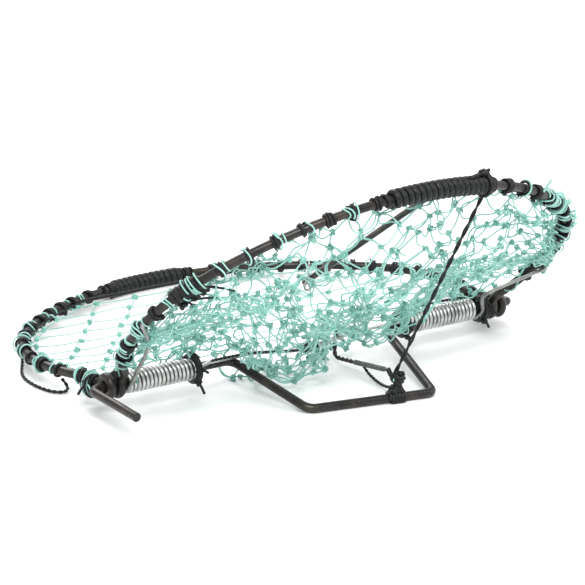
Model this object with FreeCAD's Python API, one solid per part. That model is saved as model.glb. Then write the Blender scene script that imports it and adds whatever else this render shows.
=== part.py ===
import FreeCAD, Part
import math
import os

# A sprung net trap.  Two D-shaped rod hoops turn on one axle, which is the straight part of a
# bent base rod.  The base rod's middle is bent out into a foot.  Millimetres, +Z up, the floor
# is Z = 0, the rear hoop lies towards +Y and the foot stands towards -Y.

# ---- driving dimensions -------------------------------------------------------------------
ROD_R = 3.0              # radius of the hoops' and the base's rod
AXLE_Y = -30.2           # the hinge line, parallel to X
AXLE_Z = 18.5
HOOP_REACH = 184.0       # hinge line to the middle of a hoop's grip
CORNER_X = 82.0          # centre of a hoop's corner arc, out from the middle
CORNER_OUT = 64.0        # and away from the hinge line
CORNER_R = 85.0
REAR_EYE_X = 158.5       # where each hoop's eyes sit on the axle
FRONT_EYE_X = 151.0
EYE_CLEARANCE = 0.08     # between an eye and the axle, on the radius
STEM_BEND_R = 8.0
FRONT_SWING = 130.0      # degrees up from +Y, over the hinge line
WRAP_CORD = 3.3          # cord wound round the grips
REAR_WRAP_R = 5.8
FRONT_WRAP_R = ROD_R + WRAP_CORD
REAR_GRIP_X = (-44.0, 33.0)
FRONT_GRIP_X = (-30.0, 48.0)
LASH_CORD = 2.2          # cord that ties the net to the hoops
LASH_R = ROD_R + LASH_CORD
LASH_LENGTH = 4.5
LASH_PITCH = 13.0
TOUCH = 0.05             # gap between pieces that are tied together

FOOT_TOP_X = 62.0        # where the foot's legs leave the axle
FOOT_LEFT = (-45.0, -64.0)   # the foot's corners, from the middle of the axle
FOOT_RIGHT = (44.0, -80.0)
END_X = 171.0            # the base rod's bent ends
LEFT_END = (-54.0, 0.0)      # how far the ends run in Y and Z
RIGHT_END = (64.0, -15.5)

WIRE_R = 1.25            # spring wire
COIL_R = 6.2             # mean radius of a spring
COIL_TURNS = 16
COIL_PITCH = 3.2
LEFT_COIL_X = -142.0     # outer end of each spring
RIGHT_COIL_X = 133.2
COIL_LENGTH = COIL_TURNS * COIL_PITCH
ARM_GAP = 2.6            # from a coil's end to its outer arm's ring
ARM_UP = 7.0             # the arms' height over the hoop where they cross it
BUNDLE_TURN = math.radians(49.5)   # from the front hoop's crown to the bunched cord
BUNDLE_LENGTH = 18.0
RETURN_RUN = 27.0        # the rear hoop's end, turned back along its stem

NET_T = 1.2              # thickness of a stretched net panel
NET_INSET = 12.5         # hoop's centre line to the panel's edge
FRONT_NET_UP = 1.5       # the front panel's middle, outside the hoop's plane
NET_START = 16.0         # the panels begin this far from the hinge line

LATCH_X = 8.0
LATCH_R = 2.1
LATCH_REACH = 172.0
LATCH_ANGLE = -37.6      # degrees, 0 points along +Y
LATCH_BEND_R = 6.0
TRIGGER_X = 24.0
TRIGGER_Y = 2.4          # trigger's stem behind the hinge line

CORD_R = 1.2             # free cords
THIN_CORD_R = 0.8

REAR_WRAP_DROP = AXLE_Z - REAR_WRAP_R
REAR_SWING = -math.degrees(math.asin(REAR_WRAP_DROP / HOOP_REACH))
CROWN_R = ((HOOP_REACH - CORNER_OUT) ** 2 + CORNER_X ** 2 - CORNER_R ** 2) / (
    2.0 * (HOOP_REACH - CORNER_OUT - CORNER_R))
CROWN_OUT = HOOP_REACH - CROWN_R      # centre of the hoop's crown arc
CROWN_HALF = math.atan2(CORNER_X, CORNER_OUT - CROWN_OUT)
X_AXIS = FreeCAD.Vector(1, 0, 0)


# ---- helpers ------------------------------------------------------------------------------
def vec(x, y, z):
    return FreeCAD.Vector(x, y, z)


def swung(x, out, up, swing):
    """A point of a flat frame that hangs on the hinge line: out from it and up from its plane."""
    a = math.radians(swing)
    return vec(x, AXLE_Y + out * math.cos(a) - up * math.sin(a),
               AXLE_Z + out * math.sin(a) + up * math.cos(a))


def polar(centre, radius, angle):
    return (centre[0] + radius * math.cos(angle), centre[1] + radius * math.sin(angle))


def line(a, b):
    return Part.LineSegment(a, b).toShape()


def arc(a, b, c):
    return Part.Arc(a, b, c).toShape()


def tangent_radius(a, b, c, share=0.45):
    """The largest bend at b that uses this share of the shorter of the two runs."""
    before = b.sub(a)
    after = c.sub(b)
    turn = before.getAngle(after)
    return share * min(before.Length, after.Length) / math.tan(turn / 2.0)


def rounded_wire(points, radii):
    """Straight runs through the points, joined by tangent arcs of the given radii."""
    edges = []
    start = points[0]
    for i in range(1, len(points) - 1):
        before = points[i].sub(points[i - 1]).normalize()
        after = points[i + 1].sub(points[i]).normalize()
        half = before.getAngle(after) / 2.0
        cut = radii[i - 1] * math.tan(half)
        first = points[i].sub(before * cut)
        last = points[i].add(after * cut)
        inward = after.sub(before).normalize()
        middle = points[i].add(inward * (radii[i - 1] / math.cos(half) - radii[i - 1]))
        if start.sub(first).Length > 1e-6:
            edges.append(line(start, first))
        edges.append(arc(first, middle, last))
        start = last
    edges.append(line(start, points[-1]))
    return Part.Wire(edges)


def tube(wire, radius):
    """A round bar along a wire of lines and tangent arcs."""
    first = wire.Edges[0]
    at = first.valueAt(first.FirstParameter)
    along = first.tangentAt(first.FirstParameter)
    profile = Part.Wire(Part.makeCircle(radius, at, along))
    bar = wire.makePipeShell([profile], True, False)
    expected = math.pi * radius ** 2 * wire.Length
    if abs(bar.Volume / expected - 1.0) > 0.02:
        raise ValueError("a tube's volume isn't its section times its length")
    return bar


def band(at, along, length, outer, inner):
    """A short sleeve round a rod, centred on a point."""
    along = vec(along.x, along.y, along.z).normalize()
    base = at.sub(along * (length / 2.0))
    return Part.makeCylinder(outer, length, base, along).cut(
        Part.makeCylinder(inner, length, base, along))


def cord(points, radius, name):
    """A cord's tube: each bend is as large as its runs allow."""
    points = [vec(*p) for p in points]
    radii = [tangent_radius(points[i - 1], points[i], points[i + 1])
             for i in range(1, len(points) - 1)]
    wire = rounded_wire(points, radii) if radii else Part.Wire([line(*points)])
    print(name, "length", round(wire.Length, 1), "radii", [round(r, 1) for r in radii])
    return tube(wire, radius)


def save(name, shapes):
    shapes = shapes if isinstance(shapes, list) else [shapes]
    for shape in shapes:
        if not shape.isValid() or len(shape.Solids) != 1:
            raise ValueError(name + " isn't made of valid single solids")
    shape = shapes[0].Solids[0] if len(shapes) == 1 else Part.makeCompound(
        [s.Solids[0] for s in shapes])
    shape.exportStep("parts/" + name + ".step")


# ---- hoops --------------------------------------------------------------------------------
def eye_edges(place, eye_r, bend_r, return_run=0.0):
    """The curl at a rod's end, from its tip round to where the rod runs straight out.

    place(out, up) gives the point that far from the eye's centre.  The tip either closes the
    ring or, with a return run, comes back along the rod.
    """
    reach = math.sqrt((eye_r + bend_r) ** 2 - bend_r ** 2)
    join = math.atan2(bend_r, reach)
    tip = 1.5 * math.pi if return_run else join + math.radians(272.0)
    edges = [line(place(return_run, -eye_r), place(0.0, -eye_r))] if return_run else []
    edges.append(arc(place(*polar((0, 0), eye_r, tip)),
                     place(*polar((0, 0), eye_r, (tip + join) / 2.0)),
                     place(*polar((0, 0), eye_r, join))))
    lead = math.pi + join
    edges.append(arc(place(*polar((0, 0), eye_r, join)),
                     place(*polar((reach, bend_r), bend_r, (lead + 1.5 * math.pi) / 2.0)),
                     place(reach, 0.0)))
    return edges, reach


def hoop_half(side, eye_x, swing, return_run):
    """Edges of one half of a hoop, from the eye's tip to the crown's start."""
    eye, reach = eye_edges(lambda out, up: swung(side * eye_x, out, up, swing),
                           2 * ROD_R + EYE_CLEARANCE, 2 * ROD_R, return_run)
    bend_x = eye_x + STEM_BEND_R
    run = bend_x - CORNER_X
    bend_out = CORNER_OUT - math.sqrt((CORNER_R + STEM_BEND_R) ** 2 - run ** 2)
    to_corner = math.atan2(CORNER_OUT - bend_out, CORNER_X - bend_x)

    def at(centre, radius, angle):
        x, out = polar(centre, radius, angle)
        return swung(side * x, out, 0.0, swing)

    bend = (bend_x, bend_out)
    corner = (CORNER_X, CORNER_OUT)
    first = to_corner - math.pi
    last = math.pi / 2.0 - CROWN_HALF
    return eye + [
        line(swung(side * eye_x, reach, 0.0, swing), at(bend, STEM_BEND_R, math.pi)),
        arc(at(bend, STEM_BEND_R, math.pi),
            at(bend, STEM_BEND_R, (math.pi + to_corner) / 2.0),
            at(bend, STEM_BEND_R, to_corner)),
        arc(at(corner, CORNER_R, first),
            at(corner, CORNER_R, (first + last) / 2.0),
            at(corner, CORNER_R, last)),
    ]


def crown_point(x, swing, up=0.0):
    """A point on the hoop's crown arc."""
    return swung(x, CROWN_OUT + math.sqrt(CROWN_R ** 2 - x ** 2), up, swing)


def hoop(eye_x, swing, return_run=0.0):
    edge_x = CROWN_R * math.sin(CROWN_HALF)
    crown = arc(crown_point(-edge_x, swing), crown_point(0.0, swing), crown_point(edge_x, swing))
    left = hoop_half(-1, eye_x, swing, return_run)
    right = hoop_half(1, eye_x, swing, return_run)
    return tube(Part.Wire(left + [crown] + right[::-1]), ROD_R)


def rim_place(turn, side):
    """Centre and direction of the rim at an angle round a hoop's outline, from its crown."""
    if turn <= CROWN_HALF:
        x, out = polar((0.0, CROWN_OUT), CROWN_R, math.pi / 2.0 - turn)
    else:
        x, out = polar((CORNER_X, CORNER_OUT), CORNER_R, math.pi / 2.0 - turn)
    return side * x, out, side * math.cos(turn), -math.sin(turn)


def lashings(swing, grip_x):
    """Bands along a hoop's rim, everywhere but on its grip."""
    bands = []
    for side in (-1, 1):
        turn = math.asin((max(side * grip_x[0], side * grip_x[1]) + 6.0) / CROWN_R)
        while turn < math.radians(118.0):
            x, out, dx, dout = rim_place(turn, side)
            along = swung(dx, dout, 0.0, swing).sub(swung(0.0, 0.0, 0.0, swing))
            bands.append(band(swung(x, out, 0.0, swing), along, LASH_LENGTH, LASH_R,
                              ROD_R + TOUCH))
            turn += LASH_PITCH / (CROWN_R if turn <= CROWN_HALF else CORNER_R)
    return bands


def grip_wrap(swing, grip_x, radius):
    """The winding on a grip: a sleeve bent along the crown."""
    centre = swung(0.0, CROWN_OUT, 0.0, swing)
    normal = swung(0.0, 0.0, 1.0, swing).sub(swung(0.0, 0.0, 0.0, swing))
    start = math.asin(grip_x[0] / CROWN_R)
    turn = math.degrees(math.asin(grip_x[1] / CROWN_R) - start)
    at = crown_point(grip_x[0], swing)
    along = normal.cross(at.sub(centre))
    sleeve, bore = [
        Part.Face(Part.Wire(Part.makeCircle(r, at, along))).revolve(centre, normal, -turn)
        for r in (radius, ROD_R + TOUCH)]
    return sleeve.cut(bore)


def net_panel(swing, up):
    """A stretched net, as a thin plate inside a hoop's rim."""
    corner = (CORNER_X, CORNER_OUT)
    corner_r = CORNER_R - NET_INSET
    low = math.asin((NET_START - CORNER_OUT) / corner_r)
    base = up - NET_T / 2.0
    high = math.pi / 2.0 - CROWN_HALF

    def at(side, angle):
        x, out = polar(corner, corner_r, angle)
        return swung(side * x, out, base, swing)

    edges = [line(at(-1, low), at(1, low)),
             arc(at(1, low), at(1, (low + high) / 2.0), at(1, high)),
             arc(at(1, high), swung(0.0, HOOP_REACH - NET_INSET, base, swing),
                 at(-1, high)),
             arc(at(-1, high), at(-1, (low + high) / 2.0), at(-1, low))]
    lift = swung(0.0, 0.0, NET_T, swing).sub(swung(0.0, 0.0, 0.0, swing))
    return Part.Face(Part.Wire(edges)).extrude(lift)


# ---- base and springs ---------------------------------------------------------------------
def from_axle(x, y, z):
    return vec(x, AXLE_Y + y, AXLE_Z + z)


def base_rod():
    drop = ROD_R - AXLE_Z
    points = [from_axle(-END_X, *LEFT_END), from_axle(-END_X, 0, 0), from_axle(-FOOT_TOP_X, 0, 0),
              from_axle(FOOT_LEFT[0], FOOT_LEFT[1], drop),
              from_axle(FOOT_RIGHT[0], FOOT_RIGHT[1], drop),
              from_axle(FOOT_TOP_X, 0, 0), from_axle(END_X, 0, 0), from_axle(END_X, *RIGHT_END)]
    return tube(rounded_wire(points, [7.0, 8.0, 9.0, 5.0, 8.0, 7.0]), ROD_R)


def coil(start_x):
    """A close-wound spring: one ridge for each turn."""
    def at(x, r):
        return from_axle(x, 0.0, r)

    inner = COIL_R - WIRE_R
    end_x = start_x + COIL_LENGTH
    edges = [line(at(start_x, inner), at(start_x, COIL_R))]
    for i in range(COIL_TURNS):
        x = start_x + i * COIL_PITCH
        edges.append(arc(at(x, COIL_R), at(x + COIL_PITCH / 2.0, COIL_R + WIRE_R),
                         at(x + COIL_PITCH, COIL_R)))
    edges += [line(at(end_x, COIL_R), at(end_x, inner)), line(at(end_x, inner), at(start_x, inner))]
    return Part.Face(Part.Wire(edges)).revolve(from_axle(0, 0, 0), X_AXIS, 360.0)


def spring(side, outer_x):
    """A coil and its inner leg, which runs over the foot's leg to the middle of the axle."""
    start_x = outer_x if side < 0 else outer_x - COIL_LENGTH
    inner_x = abs(outer_x) - COIL_LENGTH
    seat = polar((0.0, 0.0), COIL_R, math.radians(140.0))
    rest_y = 1.4 * side
    points = [from_axle(side * (inner_x + 1.6), *seat), from_axle(side * 52.0, *seat),
              from_axle(side * 12.0, rest_y, -2.0), from_axle(-side * 14.0, rest_y, -2.0)]
    leg = tube(rounded_wire(points, [24.0, 24.0]), WIRE_R)
    return coil(start_x).fuse(leg)


def spring_arm(side, outer_x, bend, tip):
    """The spring's outer leg, which bears on the front hoop's outer face and hooks over it."""
    x = outer_x + side * ARM_GAP
    ring = [swung(x, *polar((0.0, 0.0), COIL_R, math.radians(a)), FRONT_SWING)
            for a in (-90.0, -180.0, -270.0)]
    along = [swung(x, 0.0, COIL_R, FRONT_SWING), swung(bend[0], bend[1], ARM_UP, FRONT_SWING),
             swung(tip[0], tip[1], ARM_UP, FRONT_SWING)]
    along.insert(1, swung(x, 7.0, COIL_R, FRONT_SWING))
    leg = rounded_wire(along, [6.0, 6.0])
    return tube(Part.Wire([arc(*ring)] + leg.Edges), WIRE_R)


# ---- catch --------------------------------------------------------------------------------
def latch_place(out, up):
    a = math.radians(LATCH_ANGLE)
    grip = crown_point(LATCH_X, FRONT_SWING)
    return vec(LATCH_X, grip.y + out * math.cos(a) - up * math.sin(a),
               grip.z + out * math.sin(a) + up * math.cos(a))


def latch_arm():
    eye, reach = eye_edges(latch_place, FRONT_WRAP_R + 0.3 + LATCH_R, LATCH_BEND_R)
    shaft = line(latch_place(reach, 0.0), latch_place(LATCH_REACH, 0.0))
    return tube(Part.Wire(eye + [shaft]), LATCH_R)


def latch_wire():
    """A bright wire that stands up beside the arm's end, with a collar round the arm."""
    centre = latch_place(LATCH_REACH - 7.0, 0.0)
    along = latch_place(1.0, 0.0).sub(latch_place(0.0, 0.0))
    collar = band(centre, along, 2.6, LATCH_R + 1.9, LATCH_R + TOUCH)
    foot = centre.add(vec(-LATCH_R - 1.1, 0.0, 0.0))
    post = Part.makeCylinder(0.8, 15.0, foot, vec(0.0, 0.0, 1.0))
    return collar.fuse(post)


TRIGGER_TOP = from_axle(TRIGGER_X, TRIGGER_Y, 9.5)
TRIGGER_HEEL = from_axle(TRIGGER_X, TRIGGER_Y, -14.0)
TRIGGER_TOE = from_axle(TRIGGER_X, -50.0, -5.5)


def trigger_hook():
    return tube(rounded_wire([TRIGGER_TOP, TRIGGER_HEEL, TRIGGER_TOE], [4.0]), WIRE_R)


def trigger_tip():
    along = TRIGGER_TOE.sub(TRIGGER_HEEL).normalize()
    return band(TRIGGER_TOE.sub(along * 5.0), along, 9.0, 2.1, WIRE_R + TOUCH)


# ---- knots and bag ------------------------------------------------------------------------
FOOT_KNOT_X = 17.0


def foot_knot_place():
    share = (FOOT_KNOT_X - FOOT_LEFT[0]) / (FOOT_RIGHT[0] - FOOT_LEFT[0])
    y = FOOT_LEFT[1] + share * (FOOT_RIGHT[1] - FOOT_LEFT[1])
    return vec(FOOT_KNOT_X, AXLE_Y + y, ROD_R)


def foot_lashing():
    """Turns round the foot's bar with a knot on top, pressed flat where they meet the floor."""
    at = foot_knot_place()
    bar = vec(FOOT_RIGHT[0] - FOOT_LEFT[0], FOOT_RIGHT[1] - FOOT_LEFT[1], 0.0)
    turns = band(at, bar, 11.0, 6.0, ROD_R + TOUCH)
    knot = Part.makeCylinder(4.6, 11.0, at.add(vec(0, 0, ROD_R + 1.0)), vec(0, 0, 1))
    above = Part.makeBox(60, 60, 40, at.add(vec(-30, -30, 0.02 - ROD_R)))
    return turns.fuse(knot).common(above)


def net_bag():
    """The slack middle of the net, which hangs in front of the axle and lies in the foot."""
    low = from_axle(-46.0, -30.0, 1.2 - AXLE_Z)
    bag = Part.makeBox(60.0, 62.0, 10.0, low)
    return bag.makeFillet(4.0, bag.Edges)


def coil_tie(x):
    """Cord round a spring's inner leg and the axle."""
    return band(from_axle(x, 0, 0), X_AXIS, 5.0, COIL_R + WIRE_R + 2.3, COIL_R + WIRE_R + TOUCH)


def eye_tie(side):
    """Cord that ties a rear hoop's returned end to its stem."""
    middle = -ROD_R - EYE_CLEARANCE / 2.0
    stem = swung(0, 1.0, 0.0, REAR_SWING).sub(swung(0, 0.0, 0.0, REAR_SWING))
    inner = 2.0 * ROD_R + EYE_CLEARANCE + TOUCH
    at = swung(side * REAR_EYE_X, 17.4, middle, REAR_SWING)
    return band(at, stem, 6.0, inner + LASH_CORD, inner)


def axle_knot():
    """The knot on the axle that ends the cord over the right spring."""
    return band(from_axle(143.0, 0, 0), X_AXIS, 7.0, 10.0, ROD_R + TOUCH)


def centre_tie():
    return band(from_axle(0.0, 0.0, -2.0), X_AXIS, 12.0, 4.9, 2.8)


def tether_knot():
    at = crown_point(43.0, FRONT_SWING)
    along = crown_point(43.5, FRONT_SWING).sub(crown_point(42.5, FRONT_SWING))
    return band(at, along, 7.0, FRONT_WRAP_R + 2.4, FRONT_WRAP_R + TOUCH)


def knot_bundle():
    x, out, dx, dout = rim_place(BUNDLE_TURN, -1)
    along = swung(dx, dout, 0.0, FRONT_SWING).sub(swung(0.0, 0.0, 0.0, FRONT_SWING))
    return band(swung(x, out, 0.0, FRONT_SWING), along, BUNDLE_LENGTH, LASH_R + 2.4, LASH_R + 1.0)


# ---- free cords: hand-set routes ----------------------------------------------------------
TETHER = [(17.0, -102.5, 18.4), (43.5, -140.2, 143.6)]
CARRY_LOOP = [(-160.0, 68.0, 5.0), (-163.5, 62.5, 3.0), (-169.0, 55.0, 1.5), (-173.0, 45.5, 1.5),
              (-174.0, 34.5, 1.5), (-173.0, 24.0, 1.5), (-169.5, 14.5, 1.5), (-162.5, 10.0, 1.7),
              (-158.0, 15.0, 3.4), (-160.5, 19.5, 7.4)]
TRIGGER_CORD = [(26.6, -55.0, 8.2), (26.0, -61.5, 4.2), (25.2, -71.5, 2.2), (23.6, -81.5, 2.4),
                (21.5, -91.0, 4.2), (19.6, -97.9, 7.6)]
AXLE_CORD = [(-82.3, -36.9, 24.1), (-58.0, -38.3, 25.3), (-32.0, -37.2, 21.2), (-6.3, -34.1, 16.5)]
COIL_CORD = [(78.7, -28.7, 27.2), (99.0, -28.2, 28.1), (119.0, -28.4, 28.2), (139.3, -28.8, 27.2)]
HEAD_ROPE_OUT = 162.0
HEAD_ROPE_X = 79.0


def head_rope():
    ends = [swung(side * HEAD_ROPE_X, HEAD_ROPE_OUT, 2.2, REAR_SWING) for side in (-1, 1)]
    return cord([(p.x, p.y, p.z) for p in ends], 1.1, "head_rope")


# ---- the parts ----------------------------------------------------------------------------
def main():
    os.makedirs("parts", exist_ok=True)
    save("base_rod", base_rod())
    save("rear_hoop", hoop(REAR_EYE_X, REAR_SWING, RETURN_RUN))
    save("front_hoop", hoop(FRONT_EYE_X, FRONT_SWING))
    save("rear_grip_wrap", grip_wrap(REAR_SWING, REAR_GRIP_X, REAR_WRAP_R))
    save("front_grip_wrap", grip_wrap(FRONT_SWING, FRONT_GRIP_X, FRONT_WRAP_R))
    save("rear_hoop_lashings", lashings(REAR_SWING, REAR_GRIP_X))
    save("front_hoop_lashings", lashings(FRONT_SWING, FRONT_GRIP_X))
    save("left_spring", spring(-1, LEFT_COIL_X))
    save("right_spring", spring(1, RIGHT_COIL_X))
    save("left_spring_arm", spring_arm(-1, LEFT_COIL_X, (-146.0, 50.0), (-177.0, 92.0)))
    save("right_spring_arm", spring_arm(1, RIGHT_COIL_X, (122.0, 34.0), (177.5, 59.0)))
    save("latch_arm", latch_arm())
    save("latch_wire", latch_wire())
    save("trigger_hook", trigger_hook())
    save("trigger_tip", trigger_tip())
    save("left_spring_lashing", coil_tie(-85.0))
    save("right_spring_lashing", coil_tie(76.0))
    save("left_eye_lashing", eye_tie(-1))
    save("right_eye_lashing", eye_tie(1))
    save("right_axle_knot", axle_knot())
    save("centre_lashing", centre_tie())
    save("foot_lashing", foot_lashing())
    save("tether_knot", tether_knot())
    save("knot_bundle", knot_bundle())
    save("rear_net", net_panel(REAR_SWING, 0.0))
    save("front_net", net_panel(FRONT_SWING, FRONT_NET_UP))
    save("net_bag", net_bag())
    save("safety_tether", cord(TETHER, CORD_R, "safety_tether"))
    save("carry_loop", cord(CARRY_LOOP, CORD_R, "carry_loop"))
    save("trigger_cord", cord(TRIGGER_CORD, THIN_CORD_R, "trigger_cord"))
    save("axle_cord", cord(AXLE_CORD, 1.0, "axle_cord"))
    save("coil_cord", cord(COIL_CORD, 1.0, "coil_cord"))
    save("head_rope", head_rope())


main()
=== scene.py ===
"""A sprung net trap: two rod hoops on one axle, a bent base rod, two springs, and a mint net lashed
on with black cord.  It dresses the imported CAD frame.  Geometry is worked out in millimetres, in the
frame's own axes, and stored in metres."""

import math

import bpy
import numpy as np
from mathutils import Matrix, Vector


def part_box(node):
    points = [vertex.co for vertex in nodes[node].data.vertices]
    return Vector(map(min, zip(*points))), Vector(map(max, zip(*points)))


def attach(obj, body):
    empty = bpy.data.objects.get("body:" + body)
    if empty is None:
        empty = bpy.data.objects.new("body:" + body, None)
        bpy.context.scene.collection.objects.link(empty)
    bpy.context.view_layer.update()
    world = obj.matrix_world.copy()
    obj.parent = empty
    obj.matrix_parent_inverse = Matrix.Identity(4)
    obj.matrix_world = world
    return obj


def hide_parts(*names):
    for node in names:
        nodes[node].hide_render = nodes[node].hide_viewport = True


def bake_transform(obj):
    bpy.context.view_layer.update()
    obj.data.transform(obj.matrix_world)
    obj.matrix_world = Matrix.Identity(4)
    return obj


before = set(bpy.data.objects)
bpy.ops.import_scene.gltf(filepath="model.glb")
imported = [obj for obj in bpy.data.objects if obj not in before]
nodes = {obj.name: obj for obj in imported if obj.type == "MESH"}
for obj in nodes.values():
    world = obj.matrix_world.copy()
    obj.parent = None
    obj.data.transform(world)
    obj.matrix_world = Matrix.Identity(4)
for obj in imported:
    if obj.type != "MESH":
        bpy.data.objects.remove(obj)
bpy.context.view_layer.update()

MM = 0.001
TAU = 2.0 * math.pi

# ---- the frame's main sizes, in millimetres and degrees ----
ROD = 3.0                # radius of the hoops' and the base's rod
AXLE_Y = -30.2
AXLE_Z = 18.5
HOOP_REACH = 184.0       # from the hinge line to the middle of a hoop's crown
CORNER_X = 82.0          # centre of a hoop's corner arc, out from the middle
CORNER_OUT = 64.0        # and away from the hinge line
CORNER_R = 85.0
REAR_EYE_X = 158.5       # where the rear hoop's eyes sit on the axle
REAR_SWING = -3.957      # each hoop's plane, up from +Y
FRONT_SWING = 130.0
COIL_R = 6.2             # mean radius of a spring
WIRE = 1.25              # radius of its wire
FOOT_KNOT = np.array([17.0, -105.3, 3.0])
FOOT_BAR = np.array([89.0, -16.0, 0.0]) / math.hypot(89.0, 16.0)
CROWN_R = ((HOOP_REACH - CORNER_OUT) ** 2 + CORNER_X ** 2 - CORNER_R ** 2) / (
    2.0 * (HOOP_REACH - CORNER_OUT - CORNER_R))
CROWN_OUT = HOOP_REACH - CROWN_R
CROWN_HALF = math.atan2(CORNER_X, CORNER_OUT - CROWN_OUT)
CROWN_LENGTH = CROWN_R * CROWN_HALF
RIM_LENGTH = CROWN_LENGTH + CORNER_R * math.radians(118.0) - CORNER_R * CROWN_HALF
CORD = 0.9               # radius of the lashing cord
TWINE = 0.56             # radius of the net's twine
TIGHT_TWINE = 0.37       # and where it is pulled tight
REAR_GRIP = (-38.5, 23.0)    # ends of each hoop's winding
FRONT_GRIP = (-30.0, 48.0)
BUNDLE_RUN = -171.0      # where the spare cord is bunched, round the front hoop from its crown
TRIGGER_X = 24.0
LATCH_X = 8.0
LATCH_SWING = -37.6      # how steeply the latch arm hangs, degrees from +Y
X, Y, Z = np.eye(3)


# ---- camera ----
CAMERA_AT = (-1.4379, -1.9571, 0.9191)
CAMERA_VIEW = (0.5590, 0.7569, -0.3386)
CAMERA_UP = (0.1644, 0.2991, 0.9400)
CAMERA_LENS = 239.4


def place_camera():
    view = Vector(CAMERA_VIEW).normalized()
    right = view.cross(Vector(CAMERA_UP).normalized()).normalized()
    up = right.cross(view)
    data = bpy.data.cameras.new("camera")
    data.lens = CAMERA_LENS
    data.sensor_width = 36.0
    holder = bpy.data.objects.new("camera", data)
    bpy.context.scene.collection.objects.link(holder)
    turn = Matrix((right, up, -view)).transposed()
    holder.matrix_world = Matrix.Translation(CAMERA_AT) @ turn.to_4x4()
    bpy.context.scene.camera = holder


place_camera()


# ---- geometry helpers ----
def unit(v):
    return v / np.maximum(np.linalg.norm(v, axis=-1, keepdims=True), 1e-12)


def swung(x, out, up, swing):
    """A point of a flat frame that hangs on the hinge line: out from it and up from its plane."""
    a = math.radians(swing)
    x, out, up = np.broadcast_arrays(x, out, up)
    return np.stack([x, AXLE_Y + out * math.cos(a) - up * math.sin(a),
                     AXLE_Z + out * math.sin(a) + up * math.cos(a)], axis=-1).astype(float)


def turned(x, out, up, swing):
    """The same for a direction."""
    return swung(x, out, up, swing) - swung(0.0, 0.0, 0.0, swing)


def rim(s, swing):
    """Centre, direction, outward and upward of a hoop's rod, s mm round the rim from its crown."""
    s = np.asarray(s, float)
    run = np.abs(s)
    crown = run <= CROWN_LENGTH
    turn = np.where(crown, run / CROWN_R, CROWN_HALF + (run - CROWN_LENGTH) / CORNER_R)
    x = np.where(crown, CROWN_R * np.sin(turn), CORNER_X + CORNER_R * np.sin(turn))
    out = np.where(crown, CROWN_OUT + CROWN_R * np.cos(turn), CORNER_OUT + CORNER_R * np.cos(turn))
    side = np.where(s < 0, -1.0, 1.0)
    turn = turn * side
    return (swung(x * side, out, 0.0, swing), turned(np.cos(turn), -np.sin(turn), 0.0, swing),
            turned(np.sin(turn), np.cos(turn), 0.0, swing),
            turned(np.zeros_like(turn), 0.0, 1.0, swing))


def crown_run(x):
    """How far round the rim a point of the crown is."""
    return CROWN_R * math.asin(x / CROWN_R)


def frames(p):
    """Tangent and two even side directions along a batch of paths."""
    tangent = unit(np.gradient(p, axis=1))
    side = np.zeros_like(p)
    guess = np.where(np.abs(tangent[:, 0, 2:3]) < 0.9, [[0.0, 0.0, 1.0]], [[1.0, 0.0, 0.0]])
    side[:, 0] = unit(np.cross(tangent[:, 0], guess))
    for i in range(1, p.shape[1]):
        t = tangent[:, i]
        last = side[:, i - 1]
        side[:, i] = unit(last - t * np.sum(last * t, axis=-1, keepdims=True))
    return tangent, side, np.cross(tangent, side)


def smooth(points, count):
    """An even curve through a few points."""
    p = np.asarray(points, float)
    ext = np.vstack([2 * p[0] - p[1], p, 2 * p[-1] - p[-2]])
    t = np.linspace(0, len(p) - 1, count)
    i = np.minimum(t.astype(int), len(p) - 2)
    f = (t - i)[:, None]
    a, b, c, d = ext[i], ext[i + 1], ext[i + 2], ext[i + 3]
    return 0.5 * (2 * b + (c - a) * f + (2 * a - 5 * b + 4 * c - d) * f ** 2
                  + (3 * b - a - 3 * c + d) * f ** 3)


def resampled(path, step):
    """Points a step apart along a polyline."""
    path = np.asarray(path, float)
    run = np.concatenate([[0], np.cumsum(np.linalg.norm(np.diff(path, axis=0), axis=1))])
    at = np.linspace(0, run[-1], max(int(run[-1] / step), 3) + 1)
    return np.stack([np.interp(at, run, path[:, k]) for k in range(3)], axis=1)


def strands(line, radius, count, pitch, fill, step=0.8):
    """The paths of a twisted rope's strands round a line, and the radius of one."""
    line = resampled(line, step)
    _, side, up = frames(line[None])
    thick = radius / (1.0 + 1.0 / math.sin(math.pi / count)) * fill
    run = np.arange(len(line)) * step * TAU / pitch
    paths = [line + (radius - thick) * (np.cos(run + k * TAU / count)[:, None] * side[0]
                                        + np.sin(run + k * TAU / count)[:, None] * up[0])
             for k in range(count)]
    return np.array(paths), thick


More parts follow.
